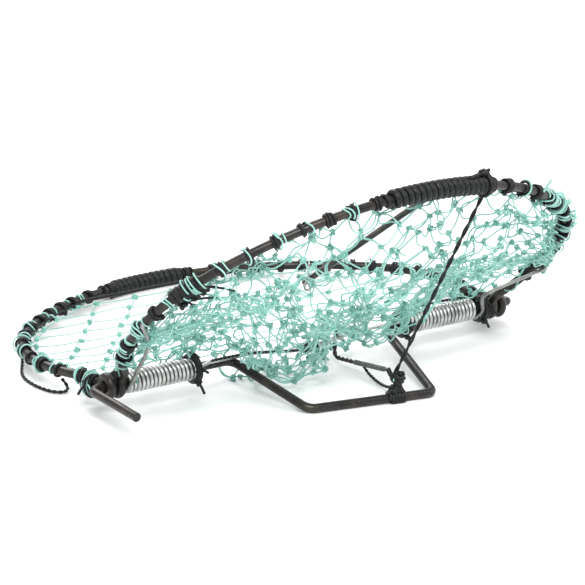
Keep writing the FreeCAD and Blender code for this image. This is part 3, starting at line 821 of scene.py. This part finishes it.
# ---- catch ----
def latch_rod():
    """The latch arm: its upper end is tucked under the grip's winding."""
    a = math.radians(LATCH_SWING)
    along, across = np.array([0.0, math.cos(a), math.sin(a)]), np.array([0.0, -math.sin(a), math.cos(a)])
    grip = rim(crown_run(LATCH_X), FRONT_SWING)[0] * [0.0, 1.0, 1.0] + X * LATCH_X
    out = np.array([5.0, 7.5, 12.0, 90.0, 171.2, 172.0])[:, None]
    skein = Skein()
    skein.add(resampled(grip + along * out, 2.0), 2.1, 14)
    t = np.linspace(0.0, 1.0, 64)[:, None]
    angle = TAU * 2.6 * t
    tie = Skein()
    tie.add(grip + along * (8.5 + 4.0 * t) + 3.0 * (np.cos(angle) * X + np.sin(angle) * across), 0.9, 8)
    skein.ride("latch_arm_rod", black_rod, "latch", "latch_arm")
    tie.ride("latch_arm_tie", black_cord, "latch")


def catch_wires():
    """The bright wire curled round the latch arm's free end, and two thin dark ends."""
    low, high = (np.array(v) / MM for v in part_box("latch_wire"))
    foot = np.array([low[0] + 1.0, 0.5 * (low[1] + high[1]), low[2] + 1.0])
    t = np.linspace(0.0, 1.0, 60)
    angle = TAU * 1.6 * t
    curl = np.stack([LATCH_X + 3.2 * np.cos(angle + math.pi),
                     foot[1] - 3.5 + 7.0 * t, foot[2] + 1.6 + 3.2 * np.sin(angle + math.pi) - 5.0 * t], -1)
    post = smooth([foot + [0.3, -2.2, 15.2], foot + [-0.2, -2.6, 8.0], foot + [0.1, -3.2, 2.5], curl[0]], 20)
    skein = Skein()
    skein.add(np.vstack([post, curl[1:]]), 0.75, 10)
    skein.ride("latch_wire_curl", bright_wire, "latch", "latch_wire")
    dark = Skein()
    for k in range(2):
        start = curl[-1] + [0.0, -1.0, 0.0]
        end = start + [5.0 + 2 * k, 0.0, -3.5 - 2.5 * k]
        dark.add(smooth([start, start + [2.0 + k, 1.5, -1.5], end], 14), 0.4, 7)
    dark.ride("latch_wire_ends", dark_wire, "latch")


def trigger():
    """Two dark wires twisted together, bent into an L, with a sleeve on the lower end."""
    x = TRIGGER_X
    y = AXLE_Y + 2.4
    corner = smooth([[x, y, AXLE_Z + 9.5], [x, y, AXLE_Z + 2.0], [x, y, AXLE_Z - 6.0], [x, y, AXLE_Z - 10.5],
                     [x, y - 1.3, AXLE_Z - 13.0], [x, y - 4.5, AXLE_Z - 13.6],
                     [x, y - 16.0, AXLE_Z - 11.8], [x, AXLE_Y - 50.0, AXLE_Z - 5.5]], 120)
    paths, thick = strands(corner, 1.55, 2, 9.0, 1.12)
    skein = Skein()
    skein.add(paths, thick, 9)
    skein.ride("trigger_hook_twist", dark_wire, "trigger", "trigger_hook")
    low, high = (np.array(v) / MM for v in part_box("trigger_tip"))
    end = np.array([x, low[1], 0.5 * (low[2] + high[2]) + 1.2])
    tube = smooth([corner[-14], 0.5 * (corner[-1] + end), end], 24)
    t = np.linspace(0.0, 1.0, 24)
    sleeve = Skein()
    sleeve.add(tube, 1.75 - 0.25 * t ** 4, 16)
    sleeve.ride("trigger_tip_sleeve", grey_sleeve, "trigger", "trigger_tip")


latch_rod()
catch_wires()
trigger()


# ---- net ----
def arcs(a, b, length, sag):
    """Bars of a given length between knots: slack ones bow out to a side, the more so downwards."""
    chord = np.linalg.norm(b - a, axis=1)
    ratio = np.clip(length / np.maximum(chord, 1.0), 1.0, 3.2)
    height = chord * 0.62 * np.sqrt(ratio - 1.0) * (1.0 - 0.06 * (ratio - 1.0))
    way = unit(b - a)
    push = draw.normal(size=a.shape) - sag * Z
    push = unit(push - way * np.sum(push * way, axis=1, keepdims=True))
    other = np.cross(way, push)
    t = np.linspace(0.0, 1.0, 11)[None, :, None]
    skew = draw.normal(size=(len(a), 1, 1)) * 0.28
    curl = draw.normal(size=(len(a), 1, 1)) * 0.22
    high = height[:, None, None]
    line = a[:, None] + (b - a)[:, None] * t \
        + high * push[:, None] * (np.sin(math.pi * t) + skew * np.sin(TAU * t)) \
        + high * other[:, None] * curl * np.sin(TAU * t)
    line[..., 2] = np.maximum(line[..., 2], TWINE + 0.1)
    return line


def knots(skein, places, size):
    """A twine knot at each place, leaning every way."""
    basis = np.linalg.qr(draw.normal(size=(len(places), 3, 3)))[0]
    sizes = size * draw.uniform(0.85, 1.2, (len(places), 1, 1))
    lines = places[:, None] + sizes * np.einsum("tk,nkj->ntj", trefoil(15, 1.5), basis)
    lines[..., 2] = np.maximum(lines[..., 2], TWINE + 0.1)
    skein.add(lines, TWINE * 1.5, 6, cap=False)


def waves(u, v, amount, seed):
    """Even bumps over a surface, different for each seed."""
    r = np.random.default_rng(seed)
    total = np.zeros_like(u)
    for _ in range(7):
        total += np.sin(r.uniform(1.5, 5.0) * math.pi * u * r.choice([-1, 1])
                        + r.uniform(1.5, 5.0) * math.pi * v + r.uniform(0, TAU))
    return amount * total / math.sqrt(3.5)


def reach_at(x, inset):
    """How far out the hoop's inside goes, and where it starts, at a given x."""
    crown = CROWN_R - inset
    corner = CORNER_R - inset
    ax = np.abs(x)
    side = np.sqrt(np.maximum(corner ** 2 - np.maximum(ax - CORNER_X, 0.0) ** 2, 0.0))
    top = np.where(ax < crown * math.sin(CROWN_HALF), CROWN_OUT + np.sqrt(crown ** 2 - ax ** 2),
                   CORNER_OUT + side)
    low = np.where(ax > 140.0, np.maximum(CORNER_OUT - side, 6.0), 0.0)
    return top, low


def beside_tether(x, out):
    """How far in front of the front hoop's plane the tether is at a reach, and how far along x."""
    share = np.clip((166.0 - out) / 119.5, 0.0, 1.0)
    return 1.5 + 54.0 * share, np.abs(x - 43.5 + 26.5 * share)


FRONT_COLUMNS, FRONT_ROWS = 32, 24
FRONT_BAR = 19.0         # length of a bar of the slack net
FRONT_INSET = 5.5        # from the hoop's rod to the net's edge
REAR_INSET = 9.0
REAR_BAR = 30.0          # between knots along a row of the stretched net
REAR_ROWS = 10
REAR_PITCH = 15.2        # from row to row
REAR_SHEAR = 13.2        # how far each row's knots are shifted along x
BAG_X = -20.0            # middle of the slack that hangs to the floor


def front_lattice():
    """Knots of the slack net: a diamond mesh bunched inside the front hoop, down to the floor."""
    i, j = np.meshgrid(np.arange(FRONT_COLUMNS + 1), np.arange(FRONT_ROWS + 1), indexing="ij")
    keep = (i + j) % 2 == 0
    i, j = i[keep], j[keep]
    u = 2.0 * i / FRONT_COLUMNS - 1.0
    # rows crowd towards the axle in the middle and towards the rim on the right
    t = (j / FRONT_ROWS) ** (1.0 + 0.30 * np.exp(-((160.0 * u + 10.0) / 70.0) ** 2)
                             - 0.30 * np.clip((160.0 * u - 50.0) / 40.0, 0.0, 1.0))
    edge = (i == 0) | (i == FRONT_COLUMNS) | (j == FRONT_ROWS)
    u = u + np.where(edge, 0.0, waves(u, t, 0.030, 3))
    t = np.clip(t + np.where(edge, 0.0, waves(u, t, 0.035, 4)), 0.0, 1.0)
    # columns gather towards the middle, most of all a third of the way up
    x = 160.0 * (u - 0.10 * (1.0 - u ** 2))
    x = x - 0.42 * (x + 8.0) * np.exp(-((t - 0.38) / 0.26) ** 2) * (1.0 - np.minimum(np.abs(u), 1.0) ** 3)
    top, low = reach_at(x, FRONT_INSET)
    beside_spring = np.clip((np.abs(x) - 62.0) / 20.0, 0.0, 1.0)
    low = np.maximum(low, np.where(x < 0.0, 37.0, 27.0) * beside_spring)
    out = low + t * (top - low)
    # the net bulges in front of the hoop's plane, but not beside the springs or under the tether
    bulge = 26.0 * np.sin(math.pi * t) * (1.0 - 0.45 * u ** 2) * (1.0 - beside_spring * (1.0 - t))
    rough = waves(u * 2.0, t * 2.0, 7.0, 5) + draw.normal(size=len(u)) * 3.0
    calm = 1.0 - beside_spring * np.clip(1.6 - 3.0 * t, 0.0, 1.0)
    up = bulge * calm + np.where(edge, 0.0, rough * calm) - 2.0 * (1.0 - calm)
    limit, beside = beside_tether(x, out)
    up = np.where(beside < 16.0, np.minimum(up, limit - 4.0), up)
    p = swung(x, out, up, FRONT_SWING)
    # the lowest rows hang down to the floor as a bag
    bell = np.exp(-((x - BAG_X) / np.where(x < BAG_X, 31.0, 27.0)) ** 2)
    hang = np.clip((0.26 - t) / 0.12, 0.0, 1.0) * np.clip(1.5 * bell, 0.0, 1.0)
    floor = np.stack([x, AXLE_Y + 2.0 - 44.0 * bell * np.clip(t / 0.12, 0.0, 1.0),
                      3.0 + 6.0 * (1.0 - bell) + 4.0 * np.abs(np.sin(x * 0.13 + t * 9.0))], -1)
    p = p + hang[:, None] * (floor - p)
    p[~edge] += draw.normal(size=(int((~edge).sum()), 3)) * 1.5 * calm[~edge, None]
    at = {(a, b): n for n, (a, b) in enumerate(zip(i, j))}
    bars = [(at[a, b], at[a + 1, b + d]) for a, b in at for d in (-1, 1) if (a + 1, b + d) in at]
    return p, np.array(bars), edge, at


def rear_lattice():
    """Knots of the stretched net: straight rows along the axle's direction, tied in slanting files."""
    places, held, at = [], [], {}
    for row in range(REAR_ROWS):
        out = 21.0 + REAR_PITCH * row
        half = CORNER_X + math.sqrt(max((CORNER_R - REAR_INSET) ** 2 - (CORNER_OUT - out) ** 2, 0.0))
        crown = CROWN_R - REAR_INSET
        if half < crown * math.sin(CROWN_HALF):
            half = math.sqrt(crown ** 2 - (out - CROWN_OUT) ** 2)
        lattice = np.arange(-12, 13)
        xs = lattice * REAR_BAR + REAR_SHEAR * row - 62.0
        inside = np.abs(xs) < half - 13.0
        file = lattice[inside]
        xs = xs[inside]
        first, last = file[0] - 1, file[-1] + 1
        for f, x in [(first, -half), *zip(file, xs), (last, half)]:
            fixed = f in (first, last)
            loose = 1.0 + 6.0 * np.clip((x - 10.0) / 110.0, 0.0, 1.0)
            wobble = np.zeros(3) if fixed else draw.normal(size=3) * (0.6, 0.4, 0.3) * loose
            sink = -4.5 * (1.0 - (x / half) ** 2) * math.sin(math.pi * min(out / 175.0, 1.0))
            at[f, row] = len(places)
            places.append(swung(x, out, sink, REAR_SWING) + wobble)
            held.append(fixed)
    bars = [(at[f, r], at[f + 1, r]) for f, r in at if (f + 1, r) in at]
    files = [(at[f, r], at[f, r + 1]) for f, r in at if (f, r + 1) in at]
    return np.array(places), np.array(bars), np.array(files), np.array(held), at


def relax(p, bars, fixed, longest):
    """Pulls knots together where a bar would have to stretch."""
    weight = np.where(fixed, 0.0, 1.0)
    a, b = bars.T
    share = weight[a] + weight[b] + 1e-9
    degree = np.bincount(np.concatenate([a, b]), minlength=len(p)) + 1e-9
    for _ in range(80):
        gap = p[b] - p[a]
        far = np.linalg.norm(gap, axis=1)
        fix = np.maximum(far - longest, 0.0) / np.maximum(far, 1e-9) / share
        step = np.zeros_like(p)
        np.add.at(step, a, gap * (fix * weight[a])[:, None])
        np.add.at(step, b, -gap * (fix * weight[b])[:, None])
        p = p + step * (2.2 / np.maximum(degree, 2.2))[:, None]
        p[:, 2] = np.maximum(p[:, 2], 1.6)
    return p


def hug(s, swing):
    """How far from the rod's centre twine lies that is wound over the rod and its hitches."""
    near = np.min(np.abs(np.asarray(s)[..., None] - np.array(hitched[swing])), axis=-1)
    return ROD + 0.5 + 2.1 * np.exp(-(near / 3.2) ** 4)


def rim_loops(skein, swing, places, many, spread):
    """Twine laced round a hoop's rod."""
    for s in places:
        for _ in range(many):
            t = np.linspace(0.0, 1.0, 24)
            angle = draw.uniform(0, TAU) + TAU * draw.uniform(0.8, 1.7) * t
            run = s + draw.uniform(-3.0, 3.0) + draw.uniform(-6.0, 6.0) * t + 1.2 * np.sin(2.0 * angle)
            skein.add(rod_point(run, swing, angle, hug(run, swing) + draw.uniform(0.0, spread)), TWINE, 6)


def hoop_ties(skein, knots_at, swing):
    """Twine from each rim knot to the nearest part of the rod and round it."""
    s = np.linspace(-RIM_LENGTH, RIM_LENGTH, 500)
    centre = rim(s, swing)[0]
    for place in knots_at:
        near = s[np.argmin(np.linalg.norm(centre - place, axis=1))]
        run = near + draw.uniform(-4.0, 4.0)
        angle = math.pi + draw.uniform(-0.9, 0.9)
        way = draw.choice([-1.0, 1.0])
        rounds = np.linspace(0.0, draw.uniform(0.5, 1.1), 14)
        loop_run = run + draw.uniform(-6.0, 6.0) * rounds
        loop = rod_point(loop_run, swing, angle + way * TAU * rounds, hug(loop_run, swing))
        lead = smooth([place, 0.5 * (place + loop[0]) + draw.normal(size=3), loop[0]], 6)
        skein.add(np.vstack([lead[:-1], loop]), TWINE, 6)


def behind_trigger(points):
    """The net where the trigger's upright wire pokes through it: pushed back past the wire."""
    x, y, z = np.moveaxis(points, -1, 0)
    beside = x - TRIGGER_X - 0.6 * (y - AXLE_Y)
    share = np.exp(-(beside / 8.0) ** 4) * np.clip((40.0 - z) / 8.0, 0.0, 1.0)
    return np.stack([x, y + share * np.maximum(AXLE_Y + 6.5 - y, 0.0), z], -1)


def blend_to(body, start, end, *pieces):
    """Pieces of net that hang between the base and a hoop."""
    for piece in pieces:
        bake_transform(piece)


def front_net(places, bars):
    """The slack net: single bars, doubled ones in the middle, knots and a few cut ends."""
    skein, lumps = Skein(), Skein()
    a, b = places[bars.T]
    chord = np.linalg.norm(b - a, axis=1)
    length = np.minimum(FRONT_BAR * draw.uniform(0.85, 1.05, len(a)),
                        chord * draw.uniform(1.05, 1.45, len(a)))
    skein.add(behind_trigger(arcs(a, b, length, 1.5)), TWINE, 5, cap=False)
    knots(lumps, places, 1.95)
    doubled = draw.random(len(a)) < 0.10 + 0.38 * np.exp(-((a[:, 0] + 20.0) / 75.0) ** 2)
    second = arcs(a[doubled], b[doubled], length[doubled] * 1.15, 0.8)
    skein.add(behind_trigger(second), TWINE, 5, cap=False)
    for place in places[draw.choice(len(places), 26, replace=False)]:
        tail(skein, place, draw.normal(size=3), draw.uniform(3.0, 7.0), TWINE)
    piece = skein.piece("front_net_mesh", mint_twine)
    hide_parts("front_net", "net_bag")
    # painted shade: the knots take the darker copy of the twine
    blend_to("front_bow", swung(0.0, 0.0, 20.0, FRONT_SWING), swung(0.0, 6.88, -2.94, FRONT_SWING),
             piece, lumps.piece("front_net_knots", shaded_mint))


def rear_net(places, rows, files, near_edge, front_edge):
    """The stretched net, and the loose bars that join it to the slack net under the axle."""
    skein, lumps = Skein(), Skein()
    for pairs, slack, sag in ((rows, 1.003, 0.9), (files, 1.02, 0.5)):
        a, b = places[pairs.T]
        length = np.linalg.norm(b - a, axis=1) * draw.uniform(1.0, slack, len(a))
        skein.add(arcs(a, b, length, sag), TIGHT_TWINE, 5, cap=False)
    knots(lumps, places, 1.6)
    joins = [(place, near_edge[k]) for place in front_edge
             for k in np.argsort(np.linalg.norm(near_edge - place, axis=1))[:2]]
    start, end = np.array(joins).transpose(1, 0, 2)
    middle = 0.5 * (start + end) + draw.normal(size=start.shape) * 3.0 - 4.0 * Z
    over_spring = AXLE_Z + np.where(middle[:, 0] < 0.0, 15.0, 11.0)
    middle[:, 2] = np.where(np.abs(middle[:, 0]) > 62.0, np.maximum(middle[:, 2], over_spring),
                            np.maximum(middle[:, 2] - 6.0, 2.0))
    for a, b in ((start, middle), (middle, end)):
        length = np.maximum(np.linalg.norm(b - a, axis=1) * 1.15, 20.0)
        skein.add(arcs(a, b, length, 0.8), TWINE, 5, cap=False)
    knots(lumps, middle, 1.6)
    # painted shade: the stretched net's bars and knots take the darker copy of the twine
    piece = skein.piece("rear_net_mesh", shaded_mint)
    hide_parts("rear_net")
    axle = np.array([0.0, AXLE_Y, AXLE_Z])
    blend_to("rear_bow", axle, axle + 45.0 * Y, piece, lumps.piece("rear_net_knots", shaded_mint))


def rim_twine(rear_ties, front_ties):
    """Twine that ties the net to both rods, with loops, knots and cut ends at the right corner."""
    lacing = Skein()
    hoop_ties(lacing, rear_ties, REAR_SWING)
    runs = np.arange(-RIM_LENGTH + 8, RIM_LENGTH - 8, 38.0)
    rim_loops(lacing, REAR_SWING, runs[np.abs(runs + 5.0) > 55.0], 1, 0.4)
    lacing.ride("rear_rim_twine", mint_twine, "rear_bow")
    lacing = Skein()
    under_grip = np.linalg.norm(front_ties - rim(crown_run(9.0), FRONT_SWING)[0], axis=1) < 46.0
    hoop_ties(lacing, front_ties[~under_grip][::2], FRONT_SWING)
    for first, last, step, many, spread in ((-210.0, -60.0, 21.0, 1, 0.8), (128.0, 245.0, 9.0, 2, 1.4),
                                            (-262.0, -215.0, 10.0, 1, 0.8)):
        rim_loops(lacing, FRONT_SWING, np.arange(first, last, step), many, spread)
    for s in np.arange(132.0, 246.0, 10.0):
        knot(lacing, rod_point(s, FRONT_SWING, draw.uniform(-2.2, 1.2), ROD + 3.4), 2.0, TWINE * 1.5)
    for s, length in ((108.0, 8.0), (150.0, 4.0), (165.0, 3.5), (182.0, 3.0), (215.0, 4.0), (236.0, 5.0)):
        tail(lacing, rod_point(s, FRONT_SWING, draw.uniform(-0.8, 0.8), ROD + 2.5),
             rim(s, FRONT_SWING)[2] + draw.normal(size=3) * 0.3, length, 0.8, 0.0)
    lacing.ride("front_rim_twine", mint_twine, "front_bow")


def make_net():
    front, front_bars, front_held, front_at = front_lattice()
    rear, rear_rows, rear_files, rear_held, rear_at = rear_lattice()
    front = behind_trigger(relax(front, front_bars, front_held, 0.95 * FRONT_BAR))
    front_net(front, front_bars)
    near_edge = rear[[n for (_, row), n in rear_at.items() if row == 0]]
    front_edge = front[[n for (_, row), n in front_at.items() if row == 0]]
    rear_net(rear, rear_rows, rear_files, near_edge, front_edge)
    rim_twine(rear[rear_held], front[front_held])


make_net()


# ---- studio ----
LIGHTS = {    # place, size and power
    "key": ((-1.0, -1.4, 2.2), 1.6, 62.0),
    "fill": ((1.8, -1.0, 1.6), 2.0, 22.0),
    "back": ((0.4, 2.0, 1.8), 1.6, 38.0),
}
WORLD_STRENGTH = 0.8


def studio():
    bpy.ops.mesh.primitive_plane_add(size=30.0, location=(0.0, 0.0, 0.0))
    floor = bpy.context.object
    floor.name = "studio_floor"
    floor.data.materials.append(floor_finish())
    world = bpy.data.worlds.new("studio")
    bpy.context.scene.world = world
    world.use_nodes = True
    background = world.node_tree.nodes["Background"]
    background.inputs["Color"].default_value = (1.0, 1.0, 1.0, 1.0)
    background.inputs["Strength"].default_value = WORLD_STRENGTH
    bpy.context.scene.view_settings.view_transform = "Standard"
    for name, (place, size, power) in LIGHTS.items():
        light = bpy.data.lights.new(name, "AREA")
        light.shape = "DISK"
        light.size = size
        light.energy = power
        holder = bpy.data.objects.new(name, light)
        holder.location = place
        holder.rotation_mode = "QUATERNION"
        aim = Vector((0.0, 0.0, 0.06)) - Vector(place)
        holder.rotation_quaternion = aim.to_track_quat("-Z", "Y")
        bpy.context.scene.collection.objects.link(holder)


studio()
